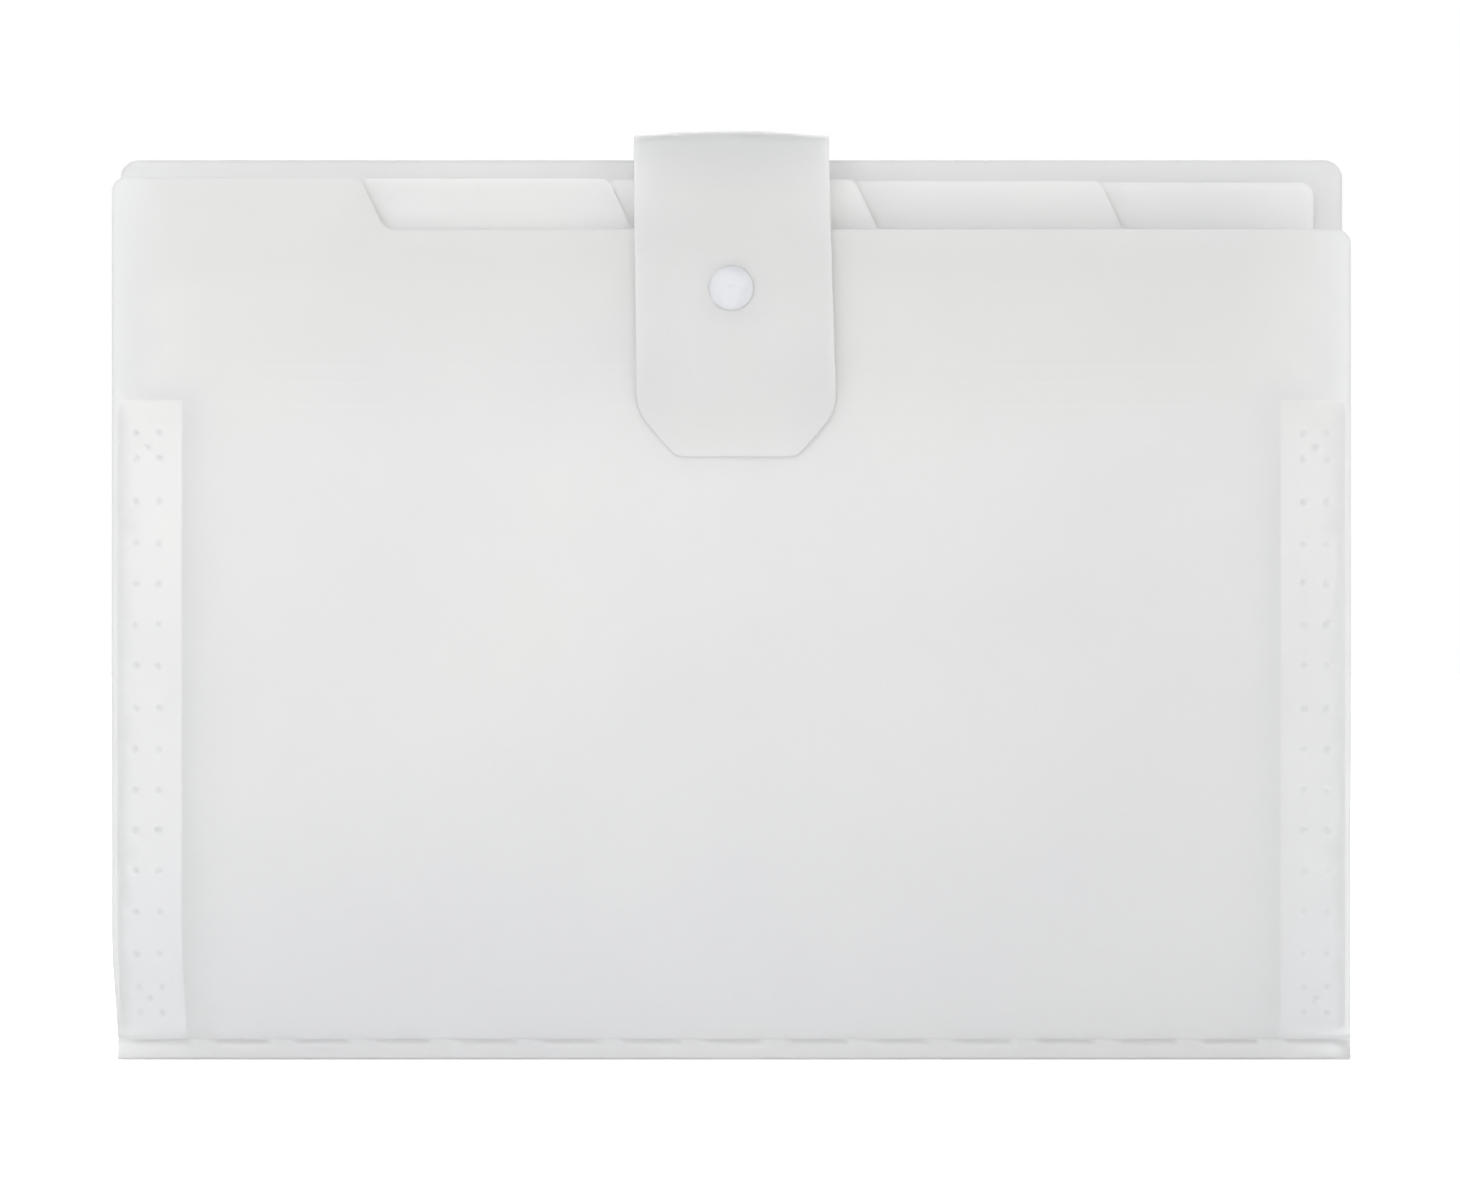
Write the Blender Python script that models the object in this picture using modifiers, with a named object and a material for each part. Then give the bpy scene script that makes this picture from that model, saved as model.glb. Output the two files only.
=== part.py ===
"""Expanding file of frosted polypropylene sheet: five pockets between a front cover and a
taller back cover, pleated sides, stepped index tabs and a strap with a snap fastener.
Metres, +Z up, the front faces -Y, the bottom of the spine stands on Z = 0."""

import math

import bpy
from mathutils import Vector

# Sheets and the clearance left between pieces that touch
COVER_THICKNESS = 0.0008
DIVIDER_THICKNESS = 0.0005
GUSSET_THICKNESS = 0.0004
CLEARANCE = 0.0003

# Covers
PANEL_WIDTH = 0.330
POCKET_COUNT = 5
POCKET_PITCH = 0.0049
SCORE_HEIGHT = 0.0055
SPINE_CORNER_RADIUS = 0.0025
FRONT_HEIGHT = 0.2212
FRONT_CORNER_RADIUS = 0.004
BACK_RISE = 0.0200
BACK_CORNER_RADIUS = 0.005

# Index tabs, one for each pocket, side by side across the width
TAB_HEIGHT = 0.0138
TAB_SLANT = 0.0066
TAB_TOP_RADIUS = 0.0025
TAB_FOOT_RADIUS = 0.004

# Dividers
DIVIDER_INSET = 0.008
DIVIDER_CORNER_RADIUS = 0.003
SHOULDER_RISE = 0.0012

# Pleated sides
GUSSET_DROP = 0.0457
GUSSET_BOTTOM = 0.0080
FLANGE_INSET = 0.0013
FLANGE_WIDTH = 0.0172
SEAM_WIDTH = 0.0085
FOLD_HALF_WIDTH = 0.00035

# Strap
STRAP_WIDTH = 0.0522
STRAP_RISE = 0.0064
STRAP_TIP_DROP = 0.0447
TIP_CHAMFER_WIDTH = 0.0105
TIP_CHAMFER_HEIGHT = 0.0120
TIP_RADIUS = 0.003

# Snap fastener
SNAP_DROP = 0.0159
SNAP_FLANGE_RADIUS = 0.0055
SNAP_FLANGE_THICKNESS = 0.0010
SNAP_KNOB_RADIUS = 0.0022
SNAP_KNOB_HEIGHT = 0.0013
SNAP_POST_RADIUS = 0.0015
SNAP_POST_GRIP = 0.0002
SNAP_RIVET_RADIUS = 0.0050
SNAP_RIVET_THICKNESS = 0.0008
SNAP_SOCKET_FLOOR = 0.0004
SNAP_SOCKET_FLARE = 0.0004
SNAP_CAP_RADIUS = 0.0060
SNAP_CAP_RIM = 0.0003
SNAP_CAP_HEIGHT = 0.0016
SNAP_EDGE_CHAMFER = 0.0003

ARC_STEPS = 6
HOLE_STEPS = 32
TURN_STEPS = 40
CAP_STEPS = 8

# Places that follow from the sizes above
HALF_WIDTH = PANEL_WIDTH / 2
BACK_HEIGHT = FRONT_HEIGHT + BACK_RISE
GUSSET_TOP = FRONT_HEIGHT - GUSSET_DROP
SNAP_HEIGHT = FRONT_HEIGHT - SNAP_DROP
STRAP_TOP = BACK_HEIGHT + STRAP_RISE
STRAP_TIP_HEIGHT = SNAP_HEIGHT - STRAP_TIP_DROP
DEPTH = POCKET_COUNT * POCKET_PITCH
FRONT_Y = -DEPTH / 2
BACK_Y = DEPTH / 2
FRONT_FACE_Y = FRONT_Y - COVER_THICKNESS / 2
DIVIDER_HALF = HALF_WIDTH - DIVIDER_INSET
FLANGE_OUTER = HALF_WIDTH - FLANGE_INSET
FLANGE_INNER = FLANGE_OUTER - FLANGE_WIDTH
SEAM_OUTER = FLANGE_INNER + CLEARANCE
DIVIDER_LOWER_HALF = SEAM_OUTER - GUSSET_THICKNESS - CLEARANCE
TAB_WIDTH = PANEL_WIDTH / POCKET_COUNT
TAB_TOP = FRONT_HEIGHT + TAB_HEIGHT
DIVIDER_BOTTOM = COVER_THICKNESS + CLEARANCE
FOLD_Z = STRAP_TOP - COVER_THICKNESS / 2
FOLD_GAP = COVER_THICKNESS / 2 + CLEARANCE
POST_HOLE_RADIUS = SNAP_POST_RADIUS + CLEARANCE

# The snap's stack, measured forward from the front face of the front cover
STUD_BASE = CLEARANCE
STUD_FACE = STUD_BASE + SNAP_FLANGE_THICKNESS
KNOB_TOP = STUD_FACE + SNAP_KNOB_HEIGHT
SOCKET_FACE = STUD_FACE + CLEARANCE
SOCKET_FLOOR = KNOB_TOP + CLEARANCE
SOCKET_BACK = SOCKET_FLOOR + SNAP_SOCKET_FLOOR
TONGUE_INNER = SOCKET_BACK + CLEARANCE
TONGUE_OUTER = TONGUE_INNER + COVER_THICKNESS
CAP_BASE = TONGUE_OUTER + CLEARANCE
RIVET_FACE = -COVER_THICKNESS - CLEARANCE
TONGUE_Y = FRONT_FACE_Y - (TONGUE_INNER + TONGUE_OUTER) / 2

# How each kind of piece is turned from the plane that its outline is drawn in
FACING_FRONT = (math.pi / 2, 0, 0)
ALONG_WIDTH = (math.pi / 2, 0, math.pi / 2)
UPRIGHT = (0, 0, 0)


def clear_scene():
    for old in list(bpy.data.objects):
        bpy.data.objects.remove(old, do_unlink=True)


def make_material(name, colour, roughness):
    material = bpy.data.materials.new(name)
    material.use_nodes = True
    shader = material.node_tree.nodes["Principled BSDF"]
    shader.inputs["Base Color"].default_value = (*colour, 1)
    shader.inputs["Roughness"].default_value = roughness
    shader.inputs["Metallic"].default_value = 0
    return material


def make_frame(name, place):
    """An empty on a joint's axis, which carries the pieces of one moving body."""
    frame = bpy.data.objects.new(name, None)
    frame.location = place
    parts.objects.link(frame)
    return frame


def add_piece(name, data, place, turn, material, frame):
    data.materials.append(material)
    piece = bpy.data.objects.new(name, data)
    parts.objects.link(piece)
    piece.rotation_euler = turn
    piece.location = Vector(place)
    if frame:
        piece.parent = frame
        piece.location -= frame.location
    return piece


def rounded(corners):
    """A closed outline through (x, y, radius) corners, each turned by an arc."""
    outline = []
    for i, (x, y, radius) in enumerate(corners):
        here = Vector((x, y))
        if radius == 0:
            outline.append(here)
            continue
        back = (Vector(corners[i - 1][:2]) - here).normalized()
        ahead = (Vector(corners[(i + 1) % len(corners)][:2]) - here).normalized()
        half = back.angle(ahead) / 2
        centre = here + (back + ahead).normalized() * radius / math.sin(half)
        start = here + back * radius / math.tan(half) - centre
        end = here + ahead * radius / math.tan(half) - centre
        sweep = start.angle_signed(end)
        for step in range(ARC_STEPS + 1):
            turn = -sweep * step / ARC_STEPS
            spoke = Vector(
                (
                    start.x * math.cos(turn) - start.y * math.sin(turn),
                    start.x * math.sin(turn) + start.y * math.cos(turn),
                )
            )
            outline.append(centre + spoke)
    return outline


def rectangle(left, right, bottom, top):
    return [Vector(p) for p in ((left, bottom), (right, bottom), (right, top), (left, top))]


def circle(x, y, radius):
    turns = [2 * math.pi * step / HOLE_STEPS for step in range(HOLE_STEPS)]
    return [Vector((x + radius * math.cos(a), y + radius * math.sin(a))) for a in turns]


def thick_path(path, thickness):
    """The outline of an open path of (x, y) points given a thickness, with mitred bends."""
    points = [Vector(p) for p in path]
    along = [(b - a).normalized() for a, b in zip(points, points[1:])]
    sides = []
    for i, point in enumerate(points):
        before = along[max(i - 1, 0)].orthogonal()
        after = along[min(i, len(along) - 1)].orthogonal()
        middle = (before + after).normalized()
        sides.append(middle * thickness / 2 / middle.dot(before))
    left = [p + s for p, s in zip(points, sides)]
    right = [p - s for p, s in zip(points, sides)]
    return left + right[::-1]


def sheet(name, outlines, thickness, place, turn, material, frame=None):
    """A flat outline, with any holes after it, given a thickness about its own plane."""
    curve = bpy.data.curves.new(name, "CURVE")
    curve.dimensions = "2D"
    curve.fill_mode = "BOTH"
    curve.extrude = thickness / 2
    for outline in outlines:
        spline = curve.splines.new("POLY")
        spline.points.add(len(outline) - 1)
        for point, at in zip(spline.points, outline):
            point.co = (at.x, at.y, 0, 1)
        spline.use_cyclic_u = True
    return add_piece(name, curve, place, turn, material, frame)


def turned(name, profile, place, material, frame):
    """A round piece about a line that points forward; profile is (radius, height) pairs."""
    mesh = bpy.data.meshes.new(name)
    edges = [(i, i + 1) for i in range(len(profile) - 1)]
    mesh.from_pydata([(radius, 0, height) for radius, height in profile], edges, [])
    piece = add_piece(name, mesh, place, FACING_FRONT, material, frame)
    screw = piece.modifiers.new("Turn", "SCREW")
    screw.steps = TURN_STEPS
    screw.render_steps = TURN_STEPS
    screw.use_merge_vertices = True
    screw.merge_threshold = 1e-6
    return piece


def tab_corners(number, left_limit, right_limit):
    """The top edge of a sheet from right to left, with the index tab of one pocket."""
    left = -HALF_WIDTH + (number - 1) * TAB_WIDTH
    right = left + TAB_WIDTH
    corners = []
    if right < right_limit:
        corners += [
            (right + TAB_SLANT, FRONT_HEIGHT, TAB_FOOT_RADIUS),
            (right, TAB_TOP, TAB_TOP_RADIUS),
        ]
    else:
        corners += [(right_limit, TAB_TOP, DIVIDER_CORNER_RADIUS)]
    if left > left_limit:
        corners += [
            (left, TAB_TOP, TAB_TOP_RADIUS),
            (left - TAB_SLANT, FRONT_HEIGHT, TAB_FOOT_RADIUS),
        ]
    else:
        corners += [(left_limit, TAB_TOP, DIVIDER_CORNER_RADIUS)]
    return corners


def build_covers():
    lip_top = SCORE_HEIGHT - CLEARANCE / 2
    panel_bottom = SCORE_HEIGHT + CLEARANCE / 2
    inner_radius = SPINE_CORNER_RADIUS - COVER_THICKNESS
    half_outer = DEPTH / 2 + COVER_THICKNESS / 2
    half_inner = half_outer - COVER_THICKNESS
    channel = rounded(
        [
            (-half_outer, lip_top, 0),
            (-half_outer, 0, SPINE_CORNER_RADIUS),
            (half_outer, 0, SPINE_CORNER_RADIUS),
            (half_outer, lip_top, 0),
            (half_inner, lip_top, 0),
            (half_inner, COVER_THICKNESS, inner_radius),
            (-half_inner, COVER_THICKNESS, inner_radius),
            (-half_inner, lip_top, 0),
        ]
    )
    sheet("bottom_spine", [channel], PANEL_WIDTH, (0, 0, 0), ALONG_WIDTH, cover_sheet)

    neck_half = STRAP_WIDTH / 2
    neck_top = FOLD_Z - FOLD_GAP
    back = rounded(
        [
            (-HALF_WIDTH, panel_bottom, 0),
            (HALF_WIDTH, panel_bottom, 0),
            (HALF_WIDTH, BACK_HEIGHT, BACK_CORNER_RADIUS),
            (neck_half, BACK_HEIGHT, 0),
            (neck_half, neck_top, 0),
            (-neck_half, neck_top, 0),
            (-neck_half, BACK_HEIGHT, 0),
            (-HALF_WIDTH, BACK_HEIGHT, BACK_CORNER_RADIUS),
        ]
    )
    place = (0, BACK_Y, 0)
    sheet("back_panel", [back], COVER_THICKNESS, place, FACING_FRONT, cover_sheet)

    front = rounded(
        [
            (-HALF_WIDTH, panel_bottom, 0),
            (HALF_WIDTH, panel_bottom, 0),
            (HALF_WIDTH, FRONT_HEIGHT, FRONT_CORNER_RADIUS),
        ]
        + tab_corners(1, -HALF_WIDTH, HALF_WIDTH)
    )
    hole = circle(0, SNAP_HEIGHT, POST_HOLE_RADIUS)
    place = (0, FRONT_Y, 0)
    frame = frames["front_cover"]
    sheet(
        "front_panel", [front, hole], COVER_THICKNESS, place, FACING_FRONT, cover_sheet, frame
    )


def build_dividers():
    shoulder = GUSSET_TOP + SHOULDER_RISE
    for number in range(1, POCKET_COUNT):
        tab = tab_corners(number + 1, -DIVIDER_HALF, DIVIDER_HALF)
        top_right = (DIVIDER_HALF, FRONT_HEIGHT, DIVIDER_CORNER_RADIUS)
        right_edge = [] if number == POCKET_COUNT - 1 else [top_right]
        outline = rounded(
            [
                (-DIVIDER_LOWER_HALF, DIVIDER_BOTTOM, 0),
                (DIVIDER_LOWER_HALF, DIVIDER_BOTTOM, 0),
                (DIVIDER_LOWER_HALF, shoulder, 0),
                (DIVIDER_HALF, shoulder, DIVIDER_CORNER_RADIUS),
            ]
            + right_edge
            + tab
            + [
                (-DIVIDER_HALF, FRONT_HEIGHT, DIVIDER_CORNER_RADIUS),
                (-DIVIDER_HALF, shoulder, DIVIDER_CORNER_RADIUS),
                (-DIVIDER_LOWER_HALF, shoulder, 0),
            ]
        )
        name = f"divider_{number}"
        place = (0, FRONT_Y + number * POCKET_PITCH, 0)
        sheet(
            name, [outline], DIVIDER_THICKNESS, place, FACING_FRONT, divider_sheet, frames[name]
        )


def build_gussets():
    """Each side's pleated strip: a flange on each cover, a fold in each pocket and a seam
    round the edge of each divider."""
    height = GUSSET_TOP - GUSSET_BOTTOM
    middle_z = (GUSSET_TOP + GUSSET_BOTTOM) / 2
    flange_offset = COVER_THICKNESS / 2 + CLEARANCE + GUSSET_THICKNESS / 2
    cover_end = flange_offset + GUSSET_THICKNESS + CLEARANCE
    seam_end = FOLD_HALF_WIDTH
    fold_inner = SEAM_OUTER + CLEARANCE
    fold_outer = FLANGE_OUTER - GUSSET_THICKNESS / 2
    seam_side = DIVIDER_THICKNESS / 2 + CLEARANCE + GUSSET_THICKNESS / 2
    seam_close = SEAM_OUTER - GUSSET_THICKNESS / 2
    for side, sign in (("left", -1), ("right", 1)):
        inner, outer = sorted((sign * FLANGE_INNER, sign * FLANGE_OUTER))
        strip = rectangle(inner, outer, GUSSET_BOTTOM, GUSSET_TOP)
        for cover, y, frame in (
            ("front", FRONT_Y + flange_offset, frames["front_cover"]),
            ("rear", BACK_Y - flange_offset, None),
        ):
            name = f"{side}_{cover}_flange"
            sheet(
                name, [strip], GUSSET_THICKNESS, (0, y, 0), FACING_FRONT, gusset_sheet, frame
            )
        for pocket in range(1, POCKET_COUNT + 1):
            wall_y = FRONT_Y + (pocket - 1) * POCKET_PITCH
            start = wall_y + (cover_end if pocket == 1 else seam_end)
            end = wall_y + POCKET_PITCH - (cover_end if pocket == POCKET_COUNT else seam_end)
            fold = (start + end) / 2
            path = [
                (sign * fold_inner, start),
                (sign * fold_outer, fold - FOLD_HALF_WIDTH),
                (sign * fold_outer, fold + FOLD_HALF_WIDTH),
                (sign * fold_inner, end),
            ]
            body = "front_cover" if pocket == 1 else f"divider_{pocket - 1}"
            sheet(
                f"{side}_pleat_{pocket}",
                [thick_path(path, GUSSET_THICKNESS)],
                height,
                (0, 0, middle_z),
                UPRIGHT,
                gusset_sheet,
                frames[body],
            )
        for number in range(1, POCKET_COUNT):
            y = FRONT_Y + number * POCKET_PITCH
            path = [
                (sign * (SEAM_OUTER - SEAM_WIDTH), y - seam_side),
                (sign * seam_close, y - seam_side),
                (sign * seam_close, y + seam_side),
                (sign * (SEAM_OUTER - SEAM_WIDTH), y + seam_side),
            ]
            sheet(
                f"{side}_seam_{number}",
                [thick_path(path, GUSSET_THICKNESS)],
                height,
                (0, 0, middle_z),
                UPRIGHT,
                gusset_sheet,
                frames[f"divider_{number}"],
            )


def build_strap():
    """A flat bridge between two creases, and a tongue that hangs from its front crease."""
    half = STRAP_WIDTH / 2
    rear_edge = BACK_Y + COVER_THICKNESS / 2
    front_edge = TONGUE_Y - COVER_THICKNESS / 2
    roof = rectangle(-half, half, front_edge, rear_edge)
    place = (0, 0, FOLD_Z)
    frame = frames["strap_bridge"]
    sheet("strap_bridge", [roof], COVER_THICKNESS, place, UPRIGHT, cover_sheet, frame)

    tongue_top = FOLD_Z - FOLD_GAP
    chamfer_top = STRAP_TIP_HEIGHT + TIP_CHAMFER_HEIGHT
    tip_half = half - TIP_CHAMFER_WIDTH
    tongue = rounded(
        [
            (-half, tongue_top, 0),
            (-half, chamfer_top, TIP_RADIUS),
            (-tip_half, STRAP_TIP_HEIGHT, TIP_RADIUS),
            (tip_half, STRAP_TIP_HEIGHT, TIP_RADIUS),
            (half, chamfer_top, TIP_RADIUS),
            (half, tongue_top, 0),
        ]
    )
    hole = circle(0, SNAP_HEIGHT, POST_HOLE_RADIUS)
    place = (0, TONGUE_Y, 0)
    frame = frames["strap_tongue"]
    sheet(
        "strap_tongue", [tongue, hole], COVER_THICKNESS, place, FACING_FRONT, cover_sheet, frame
    )


def build_snap():
    place = (0, FRONT_FACE_Y, SNAP_HEIGHT)
    post_tip = STUD_BASE + SNAP_POST_GRIP
    bore_end = post_tip + CLEARANCE
    stud = [
        (0, KNOB_TOP),
        (SNAP_KNOB_RADIUS - SNAP_EDGE_CHAMFER, KNOB_TOP),
        (SNAP_KNOB_RADIUS, KNOB_TOP - SNAP_EDGE_CHAMFER),
        (SNAP_KNOB_RADIUS, STUD_FACE),
        (SNAP_FLANGE_RADIUS - SNAP_EDGE_CHAMFER, STUD_FACE),
        (SNAP_FLANGE_RADIUS, STUD_FACE - SNAP_EDGE_CHAMFER),
        (SNAP_FLANGE_RADIUS, STUD_BASE),
        (POST_HOLE_RADIUS, STUD_BASE),
        (POST_HOLE_RADIUS, bore_end),
        (0, bore_end),
    ]
    turned("snap_stud", stud, place, snap_plastic, frames["front_cover"])

    rivet_back = RIVET_FACE - SNAP_RIVET_THICKNESS
    rivet = [
        (0, post_tip),
        (SNAP_POST_RADIUS, post_tip),
        (SNAP_POST_RADIUS, RIVET_FACE),
        (SNAP_RIVET_RADIUS, RIVET_FACE),
        (SNAP_RIVET_RADIUS, rivet_back + SNAP_EDGE_CHAMFER),
        (SNAP_RIVET_RADIUS - SNAP_EDGE_CHAMFER, rivet_back),
        (0, rivet_back),
    ]
    turned("snap_rivet", rivet, place, snap_plastic, frames["front_cover"])

    cavity_radius = SNAP_KNOB_RADIUS + CLEARANCE
    socket = [
        (0, SOCKET_BACK),
        (SNAP_FLANGE_RADIUS - SNAP_EDGE_CHAMFER, SOCKET_BACK),
        (SNAP_FLANGE_RADIUS, SOCKET_BACK - SNAP_EDGE_CHAMFER),
        (SNAP_FLANGE_RADIUS, SOCKET_FACE),
        (cavity_radius + SNAP_SOCKET_FLARE, SOCKET_FACE),
        (cavity_radius, SOCKET_FLOOR),
        (0, SOCKET_FLOOR),
    ]
    turned("snap_socket", socket, place, snap_plastic, frames["strap_tongue"])

    rim_top = CAP_BASE + SNAP_CAP_RIM
    dome = [
        (
            SNAP_CAP_RADIUS * math.sin(math.pi / 2 * step / CAP_STEPS),
            rim_top + (SNAP_CAP_HEIGHT - SNAP_CAP_RIM) * math.cos(math.pi / 2 * step / CAP_STEPS),
        )
        for step in range(CAP_STEPS + 1)
    ]
    cap = dome + [
        (SNAP_CAP_RADIUS, CAP_BASE),
        (SNAP_POST_RADIUS, CAP_BASE),
        (SNAP_POST_RADIUS, TONGUE_INNER),
        (0, TONGUE_INNER),
    ]
    turned("snap_cap", cap, place, snap_plastic, frames["strap_tongue"])


clear_scene()
parts = bpy.data.collections.new("accordion_file_folder")
bpy.context.scene.collection.children.link(parts)

cover_sheet = make_material("cover_sheet", (0.80, 0.81, 0.80), 0.45)
divider_sheet = make_material("divider_sheet", (0.82, 0.83, 0.82), 0.48)
gusset_sheet = make_material("gusset_sheet", (0.86, 0.87, 0.87), 0.42)
snap_plastic = make_material("snap_plastic", (0.84, 0.87, 0.92), 0.30)

# The covers and dividers fan about the score at the foot of the front cover.
fan_line = (0, FRONT_Y, SCORE_HEIGHT)
frames = {"front_cover": make_frame("front_cover_axis", fan_line)}
for number in range(1, POCKET_COUNT):
    frames[f"divider_{number}"] = make_frame(f"divider_{number}_axis", fan_line)
frames["strap_bridge"] = make_frame("strap_bridge_axis", (0, BACK_Y, FOLD_Z))
frames["strap_tongue"] = make_frame("strap_tongue_axis", (0, TONGUE_Y, FOLD_Z))

build_covers()
build_dividers()
build_gussets()
build_strap()
build_snap()
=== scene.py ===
import bmesh
import bpy
import math
import numpy as np
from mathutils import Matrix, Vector, noise
from mathutils.geometry import delaunay_2d_cdt


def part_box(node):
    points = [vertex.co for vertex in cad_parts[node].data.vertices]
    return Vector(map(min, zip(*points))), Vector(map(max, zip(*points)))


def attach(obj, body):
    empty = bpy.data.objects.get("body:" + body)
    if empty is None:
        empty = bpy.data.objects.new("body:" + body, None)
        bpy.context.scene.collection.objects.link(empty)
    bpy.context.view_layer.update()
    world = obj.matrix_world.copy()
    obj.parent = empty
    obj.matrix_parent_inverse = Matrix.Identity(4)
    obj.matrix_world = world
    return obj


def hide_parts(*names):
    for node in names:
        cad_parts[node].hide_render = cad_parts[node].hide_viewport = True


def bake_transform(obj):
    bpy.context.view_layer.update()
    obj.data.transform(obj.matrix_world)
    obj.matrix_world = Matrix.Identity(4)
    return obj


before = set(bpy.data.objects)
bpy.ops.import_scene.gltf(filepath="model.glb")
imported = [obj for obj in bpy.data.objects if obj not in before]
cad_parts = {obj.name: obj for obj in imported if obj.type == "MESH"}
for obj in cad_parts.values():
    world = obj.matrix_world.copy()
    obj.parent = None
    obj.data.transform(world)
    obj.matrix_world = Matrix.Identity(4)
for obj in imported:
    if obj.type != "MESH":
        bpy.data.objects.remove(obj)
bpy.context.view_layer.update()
scene = bpy.context.scene


def middleOf(node):
    low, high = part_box(node)
    return (low + high) / 2


# places that every sheet shares, in metres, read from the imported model
folder = {
    "halfWidth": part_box("front_panel")[1].x,
    "frontY": middleOf("front_panel").y,
    "backY": middleOf("back_panel").y,
    "tabTop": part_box("front_panel")[1].z,
    "frontTop": 0.2212,       # the front cover beside its tab
    "backTop": 0.2412,        # the back cover beside the strap
    "gussetLow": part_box("left_front_flange")[0].z,
    "gussetHigh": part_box("left_front_flange")[1].z,
    "snapZ": middleOf("snap_cap").z,
    "snapHole": 0.0018,       # radius of the holes that the snap's stems go through
}
wallBodies = ["front_cover", "divider_1", "divider_2", "divider_3", "divider_4", "back_cover"]
pockets = len(wallBodies) - 1
pocketDepth = (folder["backY"] - folder["frontY"]) / pockets
wallY = [folder["frontY"] + pocketDepth * k for k in range(pockets + 1)]
handOf = {-1: "left", 1: "right"}


def softCorners(corners, steps=7):
    # each corner is (x, z, radius); sharp where the radius is 0
    points = []
    count = len(corners)
    for i, (x, z, radius) in enumerate(corners):
        here = Vector((x, z))
        if radius <= 0:
            points.append(here)
            continue
        before = Vector(corners[i - 1][:2]) - here
        after = Vector(corners[(i + 1) % count][:2]) - here
        turn = before.angle(after)
        reach = radius / math.tan(turn / 2)
        start = here + before.normalized() * reach
        finish = here + after.normalized() * reach
        centre = here + (before.normalized() + after.normalized()).normalized() * (
            radius / math.sin(turn / 2))
        a, b = start - centre, finish - centre
        sweep = a.angle_signed(b)
        for k in range(steps + 1):
            t = -sweep * k / steps
            points.append(centre + Vector((a.x * math.cos(t) - a.y * math.sin(t),
                                           a.x * math.sin(t) + a.y * math.cos(t))))
    return points


def stepped(points, gap):
    # long runs get points along them, so that the sheet can bow
    result = []
    for i, here in enumerate(points):
        ahead = points[(i + 1) % len(points)]
        parts = max(1, round((ahead - here).length / gap))
        result += [here.lerp(ahead, k / parts) for k in range(parts)]
    return result


def ring(x, z, radius, steps=16, shift=0.0):
    turns = [(k + shift) * math.tau / steps for k in range(steps)]
    return [Vector((x + radius * math.cos(t), z + radius * math.sin(t))) for t in turns]


def insideMask(points, outline):
    # which points lie inside a closed outline
    x, y = points[:, 0:1], points[:, 1:2]
    a = np.array(outline)
    b = np.roll(a, 1, axis=0)
    spans = (a[:, 1] > y) != (b[:, 1] > y)
    rise = np.where(np.abs(b[:, 1] - a[:, 1]) < 1e-12, 1e-12, b[:, 1] - a[:, 1])
    crosses = x < (b[:, 0] - a[:, 0]) * (y - a[:, 1]) / rise + a[:, 0]
    return (spans & crosses).sum(axis=1) % 2 == 1


def rimDistance(points, outlines):
    # how far each point is from the nearest cut edge
    best = np.full(len(points), 1.0)
    for outline in outlines:
        a = np.array(outline)
        run = np.roll(a, -1, axis=0) - a
        size = np.maximum((run ** 2).sum(axis=1), 1e-14)
        for first in range(0, len(points), 2000):
            away = points[first:first + 2000, None, :] - a[None]
            t = np.clip((away * run).sum(axis=2) / size, 0, 1)
            gap = np.sqrt(((away - t[:, :, None] * run) ** 2).sum(axis=2)).min(axis=1)
            best[first:first + 2000] = np.minimum(best[first:first + 2000], gap)
    return best


def ease(low, high, value):
    t = max(0.0, min(1.0, (value - low) / (high - low)))
    return t * t * (3 - 2 * t)


sheetCut = {
    "rimStep": 0.0040,        # points along the cut edge
    "innerStep": 0.0085,      # points over the face
    "rimBand": 0.0011,        # the strip along the cut edge, given a painted edge shade
    "endBand": 0.0015,        # the same at the ends of folded strips
    "grooveClear": 0.0012,    # the face's points keep this far from a crease
    "extraClear": 0.0016,     # and this far from the points that a piece adds
    "foldStart": 0.0005,      # the painted edge shade begins between these two above a scored fold
    "foldEnd": 0.003,
    "edgeRound": 0.00012,
    "edgeShare": 0.3,         # of the thickness, at most
    "edgeAngle": 50,
    "waveAcross": 11,         # waves for each metre, across and up
    "waveUp": 9,
}


def finishSheet(piece, thickness, offset=0.0):
    solid = piece.modifiers.new("sheetThickness", "SOLIDIFY")
    solid.thickness = thickness
    solid.offset = offset
    edge = piece.modifiers.new("cutEdge", "BEVEL")
    edge.width = min(sheetCut["edgeRound"], thickness * sheetCut["edgeShare"])
    edge.segments = 2
    edge.limit_method = "ANGLE"
    edge.angle_limit = math.radians(sheetCut["edgeAngle"])
    normals = piece.modifiers.new("faceNormals", "WEIGHTED_NORMAL")
    normals.weight = 80
    for face in piece.data.polygons:
        face.use_smooth = True


def makePiece(name, vertices, faces, material):
    mesh = bpy.data.meshes.new(name)
    mesh.from_pydata(vertices, [], faces)
    mesh.validate()
    piece = bpy.data.objects.new(name, mesh)
    scene.collection.objects.link(piece)
    mesh.materials.append(material)
    return piece


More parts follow.
